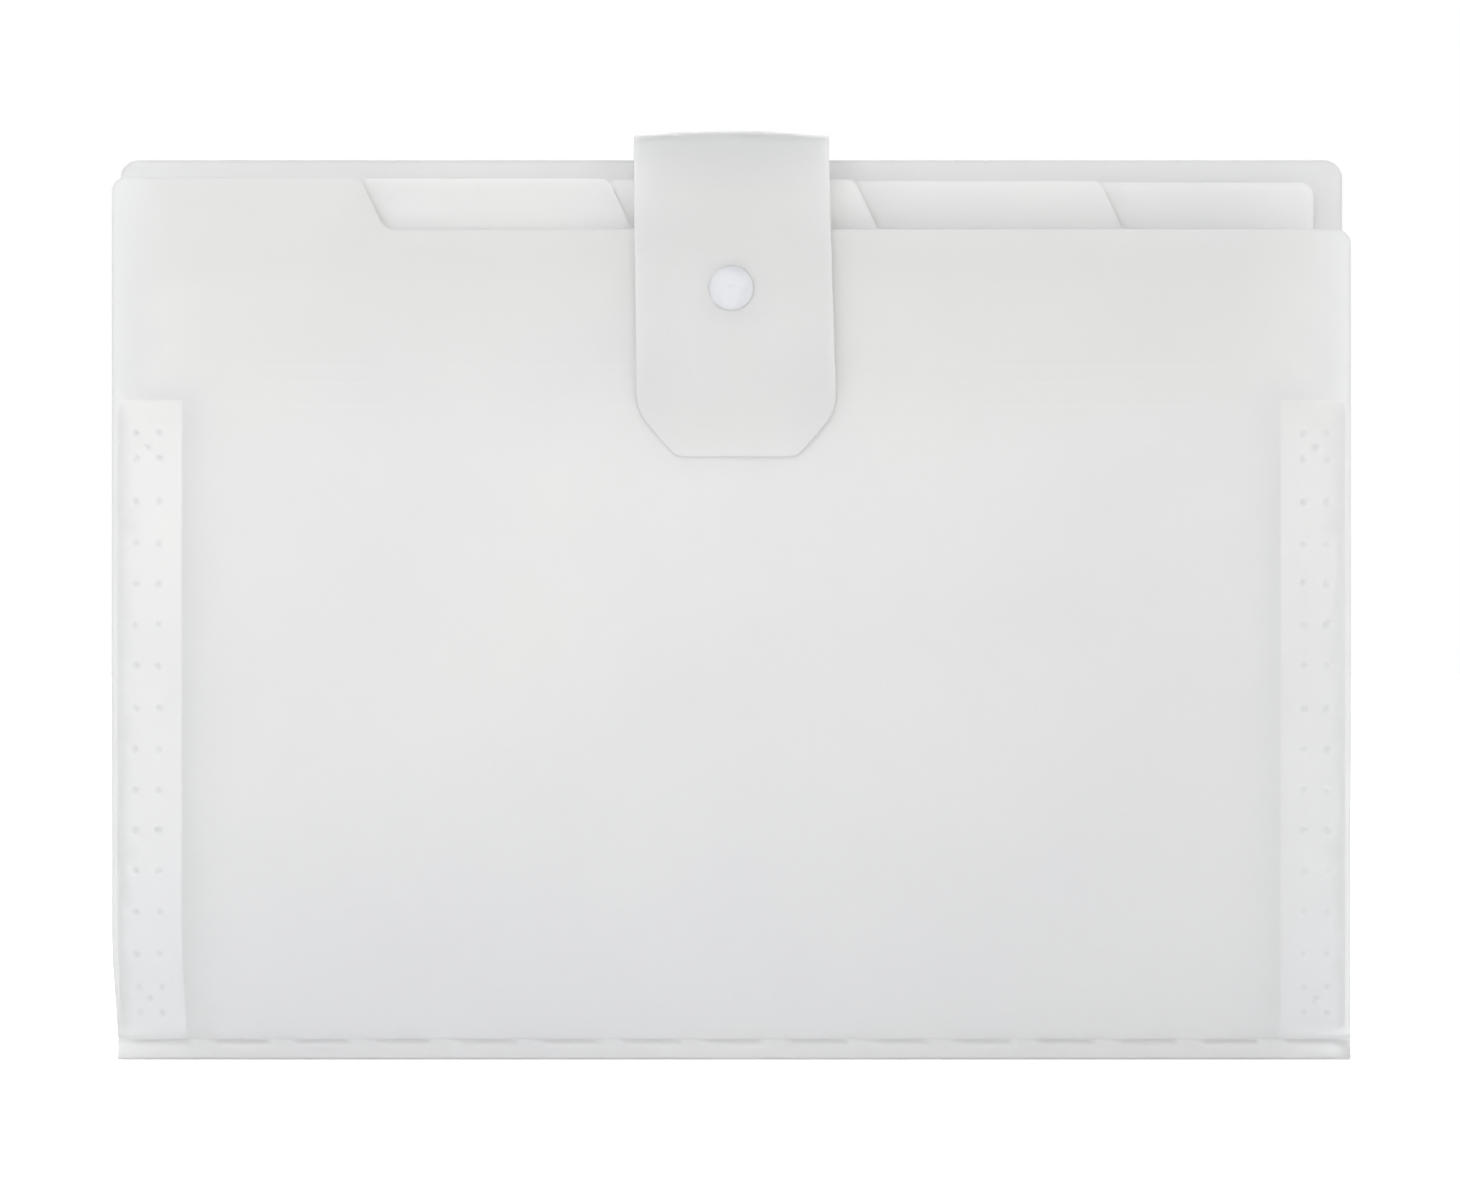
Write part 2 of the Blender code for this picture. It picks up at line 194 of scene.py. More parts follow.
def cutSheet(name, outline, holes, extra, placeAt, thickness, material, innerStep=None,
             weldAndShadeAt=None, foldLow=-1.0, grooves=()):
    # a flat blank is cut in two dimensions, then each point is placed in space
    step = innerStep or sheetCut["innerStep"]
    band = sheetCut["rimBand"]
    rims = [stepped(outline, sheetCut["rimStep"])] + [list(hole) for hole in holes]
    points, edges = [], []
    for rim in rims:
        first = len(points)
        points += rim
        edges += [(first + k, first + (k + 1) % len(rim)) for k in range(len(rim))]

    def onSheet(spots):
        mask = insideMask(spots, rims[0])
        for hole in rims[1:]:
            mask &= ~insideMask(spots, hole)
        return mask

    low = Vector((min(p.x for p in outline), min(p.y for p in outline)))
    high = Vector((max(p.x for p in outline), max(p.y for p in outline)))
    columns = max(2, round((high.x - low.x) / step))
    rows = max(2, round((high.y - low.y) / step))
    mesh = np.array([(low.x + (0.5 * step if j % 2 else 0) + (high.x - low.x) * i / columns,
                      low.y + (high.y - low.y) * j / rows)
                     for i in range(columns + 1) for j in range(rows + 1)])
    mesh = mesh[onSheet(mesh) & (rimDistance(mesh, rims) > band * 2.2)]
    kept = []
    for groove in grooves:               # rows of points that the sheet is creased along
        first = len(points)
        points += groove
        edges += [(first + k, first + k + 1) for k in range(len(groove) - 1)]
        mesh = mesh[rimDistance(mesh, [groove]) > sheetCut["grooveClear"]]
    if len(extra):
        spots = np.array(extra)
        spots = spots[onSheet(spots) & (rimDistance(spots, rims) > band * 0.3)]
        kept += [Vector(p) for p in spots]
        apart = np.array([((spots - p) ** 2).sum(axis=1).min() for p in mesh])
        mesh = mesh[apart > sheetCut["extraClear"] ** 2]
    kept += [Vector(p) for p in mesh]
    lining = []
    for rim in rims:                     # a second row of points just inside the cut edge
        for i, here in enumerate(rim):
            along = rim[(i + 1) % len(rim)] - rim[i - 1]
            side = Vector((-along.y, along.x)).normalized() * band
            lining += [here + side, here - side]
    lining = np.array(lining)
    lining = lining[onSheet(lining) & (rimDistance(lining, rims) > band * 0.93)]
    kept += [Vector(p) for p in lining]
    flat, _, faces, *_ = delaunay_2d_cdt(points + kept, edges, [], 0, 1e-6)
    spots = np.array(flat)
    middles = np.array([spots[list(face)].mean(axis=0) for face in faces])
    inside = [list(face) for face, keep in zip(faces, onSheet(middles)) if keep]
    piece = makePiece(name, [placeAt(p.x, p.y) for p in flat], inside, material)
    # painted shade along the cut edge
    rimShading = piece.data.attributes.new("rimShade", "FLOAT", "POINT")
    for k, gap in enumerate(rimDistance(spots, rims)):
        folded = ease(foldLow + sheetCut["foldStart"], foldLow + sheetCut["foldEnd"], flat[k].y)
        rimShading.data[k].value = (1 - ease(0, band * 1.2, gap)) * folded
    # the welds' own tone, and painted shade where the caller paints it
    if weldAndShadeAt:
        weldAndShade = piece.data.attributes.new("weldAndShade", "FLOAT", "POINT")
        for k, p in enumerate(flat):
            weldAndShade.data[k].value = weldAndShadeAt(p.x, p.y)
    finishSheet(piece, thickness)
    return piece


def gridFaces(lines, perLine):
    # faces between neighbouring lines of points
    corners = [i * perLine + j for i in range(lines - 1) for j in range(perLine - 1)]
    return [(a, a + perLine, a + perLine + 1, a + 1) for a in corners]


def gentleWave(x, z, seed, amount):
    # the slight waviness of a thin extruded sheet
    across, up = x * sheetCut["waveAcross"] + seed, z * sheetCut["waveUp"] - seed * 0.7
    return amount * noise.noise(Vector((across, up, seed)))


frosted = {
    # one plastic throughout, each sheet given lighter or darker tones as painted light and shade; the tones
    # run from the foot of the folder up to the tabs, darker at the foot and about the tabs as painted
    # shade, then the cut edge's painted shade and the tone of welds and painted shade; clear is how much
    # light goes through, then how much tone the painted shade leaves at the right, and headZ the head's
    # height
    "front": {"foot": (0.962, 0.965, 0.973), "body": (0.970, 0.971, 0.969), "head": (0.922, 0.923, 0.914),
              "tab": (0.822, 0.825, 0.814), "rim": (0.80, 0.805, 0.802), "mark": (0.85, 0.855, 0.855),
              "rough": 0.38, "grain": 0.10, "clear": 0.46},
    # the strap paler than the front, as painted light against the shade about it
    "strap": {"foot": (0.995, 0.995, 0.995), "body": (0.995, 0.995, 0.995), "head": (0.980, 0.980, 0.976),
              "tab": (0.912, 0.914, 0.907), "rim": (0.94, 0.942, 0.94), "mark": (0.85, 0.855, 0.855),
              "rough": 0.40, "grain": 0.10, "clear": 0.63},
    "spine": {"foot": (0.964, 0.966, 0.968), "body": (0.980, 0.983, 0.979), "head": (0.925, 0.928, 0.917),
              "tab": (0.840, 0.843, 0.832), "rim": (0.90, 0.905, 0.902), "mark": (0.85, 0.855, 0.855),
              "rough": 0.38, "grain": 0.10, "clear": 0.46},
    # the rear cover darker than the front, as painted shade
    "rear": {"foot": (0.845, 0.852, 0.860), "body": (0.862, 0.866, 0.864), "head": (0.852, 0.855, 0.849),
             "tab": (0.845, 0.848, 0.845), "rim": (0.74, 0.745, 0.745), "mark": (0.86, 0.865, 0.865),
             "rough": 0.38, "grain": 0.10, "clear": 0.38, "rightShade": 0.935},
    # the dividers paler below their tabs as painted light against the pockets' shade, darker at the tab
    # tops as painted shade
    "divider": {"foot": (0.974, 0.978, 0.984), "body": (0.988, 0.990, 0.988), "head": (0.992, 0.994, 0.990),
                "tab": (0.870, 0.873, 0.866), "rim": (0.92, 0.922, 0.918), "mark": (0.80, 0.80, 0.80),
                "rough": 0.38, "grain": 0.08, "clear": 0.50, "rightShade": 1.0, "headZ": 0.2185},
    "flange": {"foot": (0.855, 0.863, 0.876), "body": (0.945, 0.946, 0.940), "head": (0.945, 0.945, 0.939),
               "tab": (0.945, 0.945, 0.939), "rim": (0.95, 0.95, 0.95), "mark": (0.88, 0.885, 0.885),
               "rough": 0.38, "grain": 0.06, "clear": 0.06},
    "pleat": {"foot": (0.985, 0.988, 0.990), "body": (0.992, 0.993, 0.990), "head": (0.992, 0.993, 0.990),
              "tab": (0.992, 0.993, 0.990), "rim": (0.96, 0.96, 0.96), "mark": (0.85, 0.855, 0.855),
              "rough": 0.42, "grain": 0.06, "clear": 0.05},
    # the seams darker than the pleats, as painted shade beside the welded strips
    "seam": {"foot": (0.860, 0.868, 0.880), "body": (0.880, 0.884, 0.888), "head": (0.870, 0.873, 0.875),
             "tab": (0.870, 0.873, 0.875), "rim": (0.84, 0.845, 0.85), "mark": (0.80, 0.80, 0.80),
             "rough": 0.38, "grain": 0.06, "clear": 0.20},
}
# heights of the painted light and shade up each sheet
toneHeights = {"foot": 0.025, "body": 0.105, "bodyTop": 0.160, "head": 0.205, "tab": 0.232, "top": 0.250}
rightShadeRamp = {"start": -0.01, "full": 0.11, "tone": 0.970}   # painted shade: the sheets are darker towards the right


sheetTexture = {
    "cloudScale": 14,         # slow change of tone over the sheet
    "cloudSpan": (0.35, 0.65),
    "cloudTones": ((0.984, 0.984, 0.990), (1.0, 1.0, 0.996)),
    "scuffScale": 60,         # handling marks, which change the gloss
    "scuffGloss": 0.05,
    "grainScale": 1500,       # the fine frosted grain of the roller
    "grainDepth": 0.0002,
}
plasticIor = 1.49


def newPlastic(name):
    material = bpy.data.materials.new(name)
    material.use_nodes = True
    nodes, links = material.node_tree.nodes, material.node_tree.links
    shader = nodes["Principled BSDF"]
    shader.inputs["IOR"].default_value = plasticIor
    return material, nodes, links, shader, nodes.new("ShaderNodeTexCoord").outputs["Object"]


def noiseAt(nodes, links, where, scale, detail):
    texture = nodes.new("ShaderNodeTexNoise")
    texture.inputs["Scale"].default_value = scale
    texture.inputs["Detail"].default_value = detail
    links.new(where, texture.inputs["Vector"])
    return texture.outputs["Fac"]


def toneRamp(nodes, links, value, span, tones):
    ramp = nodes.new("ShaderNodeValToRGB")
    for stop, place, tone in zip(ramp.color_ramp.elements, span, tones):
        stop.position = place
        stop.color = (*tone, 1)
    links.new(value, ramp.inputs["Fac"])
    return ramp


def glossFrom(nodes, links, value, shader, least, most):
    gloss = nodes.new("ShaderNodeMapRange")
    gloss.inputs["To Min"].default_value = least
    gloss.inputs["To Max"].default_value = most
    links.new(value, gloss.inputs["Value"])
    links.new(gloss.outputs["Result"], shader.inputs["Roughness"])


def reliefFrom(nodes, links, value, shader, strength, depth):
    relief = nodes.new("ShaderNodeBump")
    relief.inputs["Strength"].default_value = strength
    relief.inputs["Distance"].default_value = depth
    links.new(value, relief.inputs["Height"])
    links.new(relief.outputs["Normal"], shader.inputs["Normal"])


def colourOver(nodes, links, below, above, share=None):
    # one colour multiplied with another or, where a share is given, laid over it by that share
    mix = nodes.new("ShaderNodeMix")
    mix.data_type = "RGBA"
    if share is None:
        mix.blend_type = "MULTIPLY"
        mix.inputs["Factor"].default_value = 1.0
    else:
        links.new(share, mix.inputs["Factor"])
    links.new(below, mix.inputs["A"])
    if isinstance(above, tuple):
        mix.inputs["B"].default_value = (*above, 1)
    else:
        links.new(above, mix.inputs["B"])
    return mix.outputs["Result"]


def pointValue(nodes, name):
    value = nodes.new("ShaderNodeAttribute")
    value.attribute_name = name
    return value.outputs["Fac"]


def frostedSheet(name, look):
    material, nodes, links, shader, where = newPlastic(name)
    shader.inputs["Transmission Weight"].default_value = look["clear"]

    # the tone ramp up each sheet paints light and shade
    spread = nodes.new("ShaderNodeSeparateXYZ")      # tone along the height
    links.new(where, spread.inputs["Vector"])
    top = toneHeights["top"]
    height = nodes.new("ShaderNodeMapRange")
    height.inputs["From Max"].default_value = top
    links.new(spread.outputs["Z"], height.inputs["Value"])
    ends = (toneHeights["foot"] / top, toneHeights["tab"] / top)
    tones = toneRamp(nodes, links, height.outputs["Result"], ends, (look["foot"], look["tab"]))
    headZ = look.get("headZ", toneHeights["head"])
    for part, place in (("body", toneHeights["body"]), ("head", headZ), ("body", toneHeights["bodyTop"])):
        stop = tones.color_ramp.elements.new(place / top)
        stop.color = (*look[part], 1)

    cloud = noiseAt(nodes, links, where, sheetTexture["cloudScale"], 3)
    drift = toneRamp(nodes, links, cloud, sheetTexture["cloudSpan"], sheetTexture["cloudTones"])
    # painted shade that darkens the sheets towards the right
    rightShade = nodes.new("ShaderNodeMapRange")
    rightShade.inputs["From Min"].default_value = rightShadeRamp["start"]
    rightShade.inputs["From Max"].default_value = rightShadeRamp["full"]
    rightShade.inputs["To Min"].default_value = 1.0
    rightShade.inputs["To Max"].default_value = look.get("rightShade", rightShadeRamp["tone"])
    links.new(spread.outputs["X"], rightShade.inputs["Value"])
    colour = colourOver(nodes, links, tones.outputs["Color"], drift.outputs["Color"])
    colour = colourOver(nodes, links, colour, rightShade.outputs["Result"])
    # welds, where the frost is gone, with painted shade beside the strips, at the margins and over the
    # strap's bend; then painted shade along the cut edge
    colour = colourOver(nodes, links, colour, look["mark"], pointValue(nodes, "weldAndShade"))
    colour = colourOver(nodes, links, colour, look["rim"], pointValue(nodes, "rimShade"))
    links.new(colour, shader.inputs["Base Color"])

    scuff = noiseAt(nodes, links, where, sheetTexture["scuffScale"], 5)
    play = sheetTexture["scuffGloss"]
    glossFrom(nodes, links, scuff, shader, look["rough"] - play, look["rough"] + play)
    grain = noiseAt(nodes, links, where, sheetTexture["grainScale"], 2)
    reliefFrom(nodes, links, grain, shader, look["grain"], sheetTexture["grainDepth"])
    return material


snapLook = {
    "tone": (0.705, 0.711, 0.737),
    "rim": (0.64, 0.65, 0.685),
    "flowScale": 240,         # the streaks of the moulding
    "flowSpan": (0.2, 0.6),
    "rough": (0.30, 0.44),
    "grainScale": 4000,
    "grain": 0.08,
    "grainDepth": 0.0001,
}


def mouldedPlastic(name, look):
    material, nodes, links, shader, where = newPlastic(name)
    flow = noiseAt(nodes, links, where, look["flowScale"], 4)
    tones = toneRamp(nodes, links, flow, look["flowSpan"], (look["rim"], look["tone"]))
    links.new(tones.outputs["Color"], shader.inputs["Base Color"])
    glossFrom(nodes, links, flow, shader, *look["rough"])
    grain = noiseAt(nodes, links, where, look["grainScale"], 2)
    reliefFrom(nodes, links, grain, shader, look["grain"], look["grainDepth"])
    return material


frontSheet = frostedSheet("frostedFront", frosted["front"])
rearSheet = frostedSheet("frostedRear", frosted["rear"])
strapSheet = frostedSheet("frostedStrap", frosted["strap"])
shadedSeamSheet = frostedSheet("frostedSeam", frosted["seam"])
spineSheet = frostedSheet("frostedSpine", frosted["spine"])
pleatSheet = frostedSheet("frostedPleat", frosted["pleat"])
snapPlastic = mouldedPlastic("snapPlastic", snapLook)
print("materials made")


weldDots = {
    "columns": (0.1587, 0.1525),
    "rows": (0.1667, 0.1600, 0.1486, 0.1374, 0.1267, 0.1157, 0.1048, 0.0933, 0.0826, 0.0717,
             0.0610, 0.0500, 0.0391, 0.0279, 0.0191, 0.0124),
    "extra": ((0.1556, 0.1630), (0.1556, 0.0159)),   # the fifth dot of each end's group
    "reach": (0.149, 0.163),   # the dots lie between these two
    "radius": 0.00125,
    "depth": 0.00022,
    "slope": (0.4, 1.05),      # its sides fall between these shares of the radius
    "rings": (0.35, 0.65, 0.95, 1.30),   # points about each dot, as shares of the radius
}


def dotCentres(sides=(-1, 1)):
    centres = []
    for side in sides:
        for x in weldDots["columns"]:
            centres += [(side * x, z) for z in weldDots["rows"]]
        centres += [(side * x, z) for x, z in weldDots["extra"]]
    return centres


def dotPoints(centres):
    points = []
    for x, z in centres:
        points.append(Vector((x, z)))
        for row, share in enumerate(weldDots["rings"]):
            points += ring(x, z, weldDots["radius"] * share, 6 if row == 0 else 12, 0.5 * (row % 2))
    return points


def dotDepth(x, z):
    # how deep the weld tool has pressed the sheet here
    ax = abs(x)
    inner, outer = weldDots["reach"]
    if ax < inner or ax > outer:
        return 0.0
    near = [(cx, cz) for cx in weldDots["columns"] for cz in weldDots["rows"]] + list(weldDots["extra"])
    best = min(math.hypot(ax - cx, z - cz) for cx, cz in near)
    floor, brim = (weldDots["radius"] * share for share in weldDots["slope"])
    return weldDots["depth"] * (1 - ease(floor, brim, best))


def dotMark(x, z):
    return dotDepth(x, z) / weldDots["depth"]


# the inner and upper edge of the welded strips
stripEdge = {"inner": 0.1465, "top": folder["gussetHigh"], "topReach": (0.1475, 0.1625), "sharp": 0.0004}
marginShade = {"start": 0.1540, "full": 0.1580, "rise": 0.004, "edgeStart": 0.1622, "edgeFull": 0.1640}


def marginShadeAt(x, z):
    # painted shade outside and above the strips, and along the outer edge
    across = ease(marginShade["start"], marginShade["full"], abs(x))
    above = ease(stripEdge["top"], stripEdge["top"] + marginShade["rise"], z)
    return max(across * above, ease(marginShade["edgeStart"], marginShade["edgeFull"], abs(x)))


tabCut = {"width": 0.066, "slant": 0.0066, "topRound": 0.0025, "endRound": 0.0038, "footRound": 0.004}


def tabCorners(number, left, right):
    # the top edge from right to left, with one index tab standing up from it
    low, high = folder["frontTop"], folder["tabTop"]
    start = -folder["halfWidth"] + (number - 1) * tabCut["width"]
    stop = start + tabCut["width"]
    slant = tabCut["slant"]
    corners = []
    if stop + slant < right:
        corners += [(stop + slant, low, tabCut["footRound"]), (stop, high, tabCut["topRound"])]
    else:
        corners += [(right, high, tabCut["endRound"])]
    if start - slant > left:
        corners += [(start, high, tabCut["topRound"]), (start - slant, low, tabCut["footRound"])]
    else:
        corners += [(left, high, tabCut["endRound"])]
    return corners, stop + slant < right, start - slant > left


frontCover = {
    "thickness": 0.0008,
    "low": 0.00565,
    "cornerRound": 0.004,
    "wave": 0.00010,
    "waveSeed": 2.3,
    "footTuck": 0.0017,       # the lower left corner draws in
    "tuckFrom": -0.10,        # to the left of this
    "tuckHigh": 0.034,        # and below this
    "lines": (0.1854, 0.1806, 0.1745),   # faint pressed lines across the sheet
    "lineDepth": 0.00007,
    "lineWide": 0.0007,
    "lineFade": (0.118, 0.135),   # they end between these two
    "lineHalf": 0.142,        # half of each row of points along a line
    "lineStep": 0.004,
    "lineRows": 0.00045,      # from one row to the next
    "stripShadeReach": 0.0105,      # painted shade just outside the welded strips
    "stripShadeShare": 0.66,
    "dotMark": 0.6,
}


def frontDepth(x, z):
    wave = gentleWave(x, z, frontCover["waveSeed"], frontCover["wave"])
    groove = sum(math.exp(-((z - h) / frontCover["lineWide"]) ** 2) for h in frontCover["lines"])
    groove *= frontCover["lineDepth"] * (1 - ease(*frontCover["lineFade"], abs(x)))
    return wave + groove + dotDepth(x, z)


# the welds' tone, with painted shade beside and above the strips and along the outer edge
def frontWeldAndShade(x, z):
    aside = max(0.0, stripEdge["inner"] - abs(x))
    above = max(0.0, z - stripEdge["top"])
    gap = math.hypot(aside, above)
    besideStripShade = ease(0, stripEdge["sharp"], gap) * (1 - ease(0, frontCover["stripShadeReach"], gap))
    return max(frontCover["dotMark"] * dotMark(x, z), frontCover["stripShadeShare"] * besideStripShade, marginShadeAt(x, z))


def towardsLeft(x):
    return ease(frontCover["tuckFrom"], -folder["halfWidth"], x)


def footTuck(x, z):
    return frontCover["footTuck"] * (1 - ease(0.0, frontCover["tuckHigh"], z)) * towardsLeft(x)


def frontPlace(x, z):
    return (x + footTuck(x, z), folder["frontY"] + frontDepth(x, z), z)


def makeFrontCover():
    half = folder["halfWidth"]
    top, _, _ = tabCorners(1, -half, half)
    outline = softCorners([(-half, frontCover["low"], 0), (half, frontCover["low"], 0),
                           (half, folder["frontTop"], frontCover["cornerRound"])] + top)
    extra = dotPoints(dotCentres())
    reach, step = frontCover["lineHalf"], frontCover["lineStep"]
    along = [step * i - reach for i in range(round(2 * reach / step) + 1)]
    grooves = [[Vector((x, h + frontCover["lineRows"] * k)) for x in along]
               for h in frontCover["lines"] for k in (-3, -1, 0, 1, 3)]
    low, high = folder["gussetLow"], stripEdge["top"]
    start, stop = stripEdge["topReach"]
    for side in (-1, 1):                 # the strips' edges show through as sharp lines
        for gap in (0, stripEdge["sharp"]):
            grooves.append([Vector((side * (stripEdge["inner"] - gap), low + (high - low) * k / 40))
                            for k in range(41)])
            grooves.append([Vector((side * (start + (stop - start) * k / 10), high + gap))
                            for k in range(11)])
    hole = ring(0, folder["snapZ"], folder["snapHole"], 24)
    piece = cutSheet("frontCoverSheet", outline, [hole], extra, frontPlace,
                     frontCover["thickness"], frontSheet, weldAndShadeAt=frontWeldAndShade, foldLow=frontCover["low"],
                     grooves=grooves)
    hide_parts("front_panel")
    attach(piece, "front_cover")


makeFrontCover()
print("front cover cut")


strap = {
    "thickness": 0.0008,
    "halfTop": 0.02575,
    "halfLow": 0.02655,
    "roofZ": 0.2472,
    "tongueY": -0.01665,
    "bend": 0.0030,
    "crown": 0.0012,          # the middle of the bridge stands higher than its edges
    "crownFrom": 0.2405,
    "tipZ": 0.1606,
    "tipIn": 0.0105,
    "tipUp": 0.0120,
    "tipRound": 0.003,
    "cheekRound": 0.012,      # where the sides turn in towards the tip
    "lean": 0.0014,           # the tip hangs a little to the right
    "tipPull": 0.0028,        # below the snap the tongue lies closer to the front
    "pullBelow": 0.012,
    "bendShadeReach": 0.0150,       # how far the painted shade of the bend runs down the strap
    "longEdgeShade": 0.34,         # and how much painted shade its long edges get
    "edgeFrom": 0.011,
    "zone": 0.03,             # all of the strap lies nearer to the middle than this
    "innerStep": 0.005,
    "acrossStep": 0.004,      # points where it bends, across and along
    "alongStep": 0.001,
    "rearLead": 0.0020,       # and how far before the rear and the front bend they start
    "frontLead": 0.0015,
}
bend = strap["bend"]
riseEnd = strap["roofZ"] - bend                      # length where the rear bend starts
arcLength = bend * math.pi / 2
roofLength = folder["backY"] - strap["tongueY"] - 2 * bend
roofStart = riseEnd + arcLength
roofEnd = roofStart + roofLength
fallStart = roofEnd + arcLength
roofMiddle = (roofStart + roofEnd) / 2
tipLength = fallStart + (riseEnd - strap["tipZ"])


def strapPath(s):
    # (y, z) at a length s along the strap, counted from the floor up the back
    if s <= riseEnd:
        return folder["backY"], s
    if s <= roofStart:
        t = (s - riseEnd) / bend
        return folder["backY"] - bend + bend * math.cos(t), riseEnd + bend * math.sin(t)
    if s <= roofEnd:
        return folder["backY"] - bend - (s - roofStart), strap["roofZ"]
    if s <= fallStart:
        t = (s - roofEnd) / bend
        return strap["tongueY"] + bend - bend * math.sin(t), riseEnd + bend * math.cos(t)
    return strap["tongueY"], riseEnd - (s - fallStart)


def strapPlace(x, s):
    y, z = strapPath(s)
    risen = ease(strap["crownFrom"], strap["roofZ"], z)
    drop = strap["crown"] * min(1.0, (x / strap["halfTop"]) ** 2) * risen
    hang = ease(0, 1, (s - roofEnd) / (tipLength - roofEnd))
    pull = 0.0
    if s > fallStart:
        pull = strap["tipPull"] * ease(folder["snapZ"] - strap["pullBelow"], strap["tipZ"], z)
    return (x + strap["lean"] * hang, y + pull, z - drop)


def bendShade(x, s):
    # painted shade where the strap goes over the top
    if abs(x) > strap["zone"] or s < riseEnd - strap["bendShadeReach"]:
        return 0.0
    away = max(0.0, riseEnd - s, s - fallStart)
    return 1 - ease(0, strap["bendShadeReach"], away)


# the bend's painted shade, and painted shade along the long edges
def strapShade(x, s):
    return max(bendShade(x, s), strap["longEdgeShade"] * ease(strap["edgeFrom"], strap["halfLow"], abs(x)))


def bendRows(first):
    # rows of points across the strap, so that it can bend there
    across, along = strap["acrossStep"], strap["alongStep"]
    return [Vector((across * i, first + along * k)) for k in range(9) for i in range(-6, 7)]


backCover = {
    "thickness": 0.0008,
    "low": 0.00565,
    "cornerRound": 0.005,
    "neckRound": 0.0008,
    "neckStart": 0.002,       # the strap's path begins this far below the top edge
    "wave": 0.00010,
    "waveSeed": 7.9,
    "calm": (0.20, 0.235),    # the waves end between these heights
}


def backPlace(x, s):
    if s > folder["backTop"] - backCover["neckStart"] and abs(x) < strap["zone"]:
        return strapPlace(x, s)
    wave = gentleWave(x, s, backCover["waveSeed"], backCover["wave"]) * (1 - ease(*backCover["calm"], s))
    return (x, folder["backY"] + wave - dotDepth(x, s), s)


def makeBackCover():
    half, neck = folder["halfWidth"], strap["halfTop"]
    top = folder["backTop"]
    outline = softCorners([
        (-half, backCover["low"], 0), (half, backCover["low"], 0),
        (half, top, backCover["cornerRound"]), (neck, top, backCover["neckRound"]),
        (neck, roofMiddle, 0), (-neck, roofMiddle, 0),
        (-neck, top, backCover["neckRound"]), (-half, top, backCover["cornerRound"])])
    extra = dotPoints(dotCentres()) + bendRows(riseEnd - strap["rearLead"])
    # the welds' tone, and painted shade over the neck's bend
    piece = cutSheet("backCoverSheet", outline, [], extra, backPlace,
                     backCover["thickness"], rearSheet,
                     weldAndShadeAt=lambda x, s: max(dotMark(x, s), bendShade(x, s)),
                     foldLow=backCover["low"])
    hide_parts("back_panel")
    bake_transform(piece)


makeBackCover()
print("back cover cut")


def makeStrap():
    top, low = strap["halfTop"], strap["halfLow"]
    corner = tipLength - strap["tipUp"]
    outline = softCorners([
        (-top, roofMiddle, 0), (top, roofMiddle, 0), (low, corner, strap["cheekRound"]),
        (low - strap["tipIn"], tipLength, strap["tipRound"]),
        (-low + strap["tipIn"], tipLength, strap["tipRound"]), (-low, corner, strap["cheekRound"])])
    hole = ring(0, fallStart + riseEnd - folder["snapZ"], folder["snapHole"], 24)
    extra = bendRows(roofEnd - strap["frontLead"])
    piece = cutSheet("strapTongueSheet", outline, [hole], extra, strapPlace,
                     strap["thickness"], strapSheet, strap["innerStep"], strapShade)
    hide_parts("strap_bridge", "strap_tongue")
    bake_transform(piece)


makeStrap()
print("strap folded")


dividers = {
    "thickness": 0.0005,
    "upperHalf": 0.157,
    "lowerHalf": 0.1461,
    "shoulderZ": 0.1767,
    "low": 0.0011,
    "cornerRound": 0.003,
    "shoulderRound": 0.001,
    "wave": 0.00022,
    "waveSeed": 3.1,
    "calmAcross": (0.135, 0.146),   # no waves where the gussets hold the sheet
    "calmUp": (0.176, 0.186),
    "tabPaintedLight": (1.0, 1.12, 1.08, 1.12),   # painted light on each tab, from front to back, against the pockets' shade
}


def makeDivider(number):
    upper, lower = dividers["upperHalf"], dividers["lowerHalf"]
    edge, shoulder = dividers["cornerRound"], dividers["shoulderRound"]
    top, rightFoot, leftFoot = tabCorners(number + 1, -upper, upper)
    corners = [(-lower, dividers["low"], edge), (lower, dividers["low"], edge),
               (lower, dividers["shoulderZ"], shoulder), (upper, dividers["shoulderZ"], edge)]
    if rightFoot:
        corners.append((upper, folder["frontTop"], edge))
    corners += top
    if leftFoot:
        corners.append((-upper, folder["frontTop"], edge))
    corners += [(-upper, dividers["shoulderZ"], edge), (-lower, dividers["shoulderZ"], shoulder)]

    def placeAt(x, z):
        calm = 1 - ease(*dividers["calmAcross"], abs(x)) * (1 - ease(*dividers["calmUp"], z))
        wave = gentleWave(x, z, dividers["waveSeed"] * number, dividers["wave"])
        return (x, wallY[number] + wave * calm, z)

    # each tab gets its painted light
    tabLight = dividers["tabPaintedLight"][number - 1]
    look = dict(frosted["divider"], tab=tuple(tabLight * c for c in frosted["divider"]["tab"]))
    piece = cutSheet(f"dividerSheet{number}", softCorners(corners), [], [], placeAt,
                     dividers["thickness"], frostedSheet(f"frostedDivider{number}", look))
    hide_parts(f"divider_{number}")
    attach(piece, f"divider_{number}")


for number in range(1, pockets):
    makeDivider(number)
print("dividers cut")


gusset = {
    "thickness": 0.0004,
    "flangeIn": stripEdge["inner"],
    "flangeOut": 0.1637,
    "flangeY": 0.01162,        # pressed against the cover
    "flangeFace": 0.01090,     # where the first pleat starts and the last one ends
    "innerRound": 0.001,
    "outerRound": 0.002,
    "innerStep": 0.004,
    "foldIn": 0.1469,
    "foldOut": 0.1633,
    "foldNose": 0.0006,
    "foldFlat": 0.00035,
    "seamIn": 0.1383,
    "seamOut": 0.1466,
    "seamNose": 0.0005,
    "seamRound": 0.0004,
    "seamGap": 0.00075,
    "pathStep": 0.0022,
    "rows": 24,
    "stripSideShade": {-1: 1.0, 1: 0.955},   # painted shade: the right strips are a little darker
}


